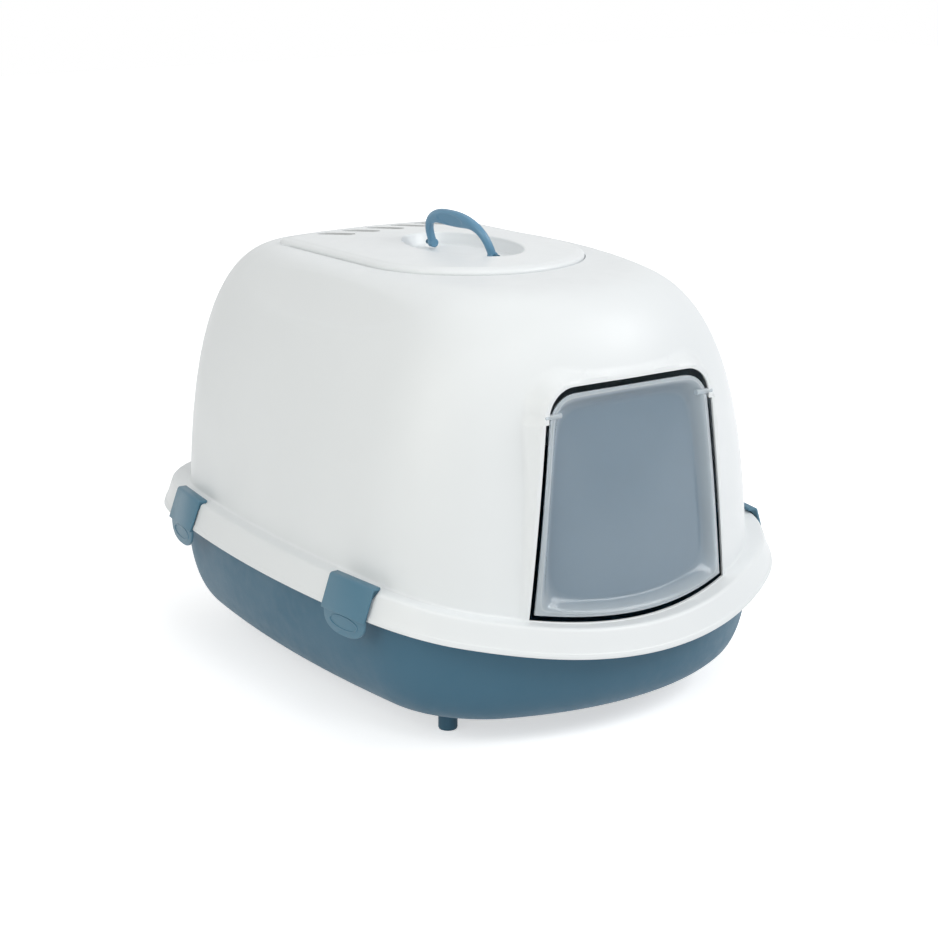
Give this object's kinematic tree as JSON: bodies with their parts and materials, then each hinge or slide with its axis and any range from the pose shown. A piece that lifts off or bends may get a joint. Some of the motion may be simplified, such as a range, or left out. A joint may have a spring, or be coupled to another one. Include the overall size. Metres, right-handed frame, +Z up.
{
  "type": "covered litter box",
  "caption": "Covered litter box: a tub on feet, a rounded hood clipped to its rim, a swinging see-through door flap, air slots with a carbon filter, and a folding carry handle.",
  "frame": {"origin": "on the floor under the middle of the rim, level with the undersides of the feet", "axes": "+Z up; -Y towards the door side; +X to the right seen from the door side"},
  "size_m": [0.5434, 0.71, 0.5024],
  "materials": {
    "petrol": "fine-grained petrol blue polypropylene, satin",
    "clip_blue": "smooth petrol blue polypropylene",
    "handle_blue": "smooth blue polypropylene",
    "white": "cool white polypropylene, soft sheen",
    "clear": "see-through smoky plastic, glossy",
    "charcoal": "activated carbon felt"
  },
  "bodies": {
    "housing": {"tray": "petrol", "hood": "white", "roof_plate": "white", "handle_pin_front": "petrol", "handle_pin_rear": "petrol", "hinge_rod_front_left": "petrol", "hinge_rod_front_right": "petrol", "hinge_rod_rear_left": "petrol", "hinge_rod_rear_right": "petrol", "foot_front_left": "petrol", "foot_front_right": "petrol", "foot_rear_left": "petrol", "foot_rear_right": "petrol"},
    "flap": {"door_flap": "clear"},
    "handle": {"carry_handle": "handle_blue"},
    "filter": {"filter_frame": "white", "carbon_filter": "charcoal"},
    "clip_front_left": {"clip_front_left": "clip_blue"},
    "clip_front_right": {"clip_front_right": "clip_blue"},
    "clip_rear_left": {"clip_rear_left": "clip_blue"},
    "clip_rear_right": {"clip_rear_right": "clip_blue"}
  },
  "joints": [
    {"name": "door_swing", "type": "hinge", "parent": "housing", "child": "flap", "pos_m": [0, -0.298, 0.342], "axis": [1, 0, 0], "range_deg": [-140, 124]},
    {"name": "handle_fold", "type": "hinge", "parent": "housing", "child": "handle", "pos_m": [0, -0.013, 0.4585], "axis": [0, 1, 0], "range_deg": [-63, 105]},
    {"name": "filter_drop", "type": "hinge", "parent": "housing", "child": "filter", "pos_m": [0, 0.1121, 0.4524], "axis": [-1, 0, 0], "range_deg": [0, 95]},
    {"name": "clip_front_left_tip", "type": "hinge", "parent": "housing", "child": "clip_front_left", "pos_m": [-0.25815, -0.18235, 0.14565], "axis": [0.1209, -0.9915, -0.048], "range_deg": [0, 60]},
    {"name": "clip_front_right_tip", "type": "hinge", "parent": "housing", "child": "clip_front_right", "pos_m": [0.25815, -0.18235, 0.14565], "axis": [0.1209, 0.9915, 0.048], "range_deg": [0, 60]},
    {"name": "clip_rear_left_tip", "type": "hinge", "parent": "housing", "child": "clip_rear_left", "pos_m": [-0.24291, 0.17307, 0.15233], "axis": [-0.151, -0.9884, -0.0184], "range_deg": [0, 60]},
    {"name": "clip_rear_right_tip", "type": "hinge", "parent": "housing", "child": "clip_rear_right", "pos_m": [0.24291, 0.17307, 0.15233], "axis": [-0.151, 0.9884, 0.0184], "range_deg": [0, 60]}
  ]
}
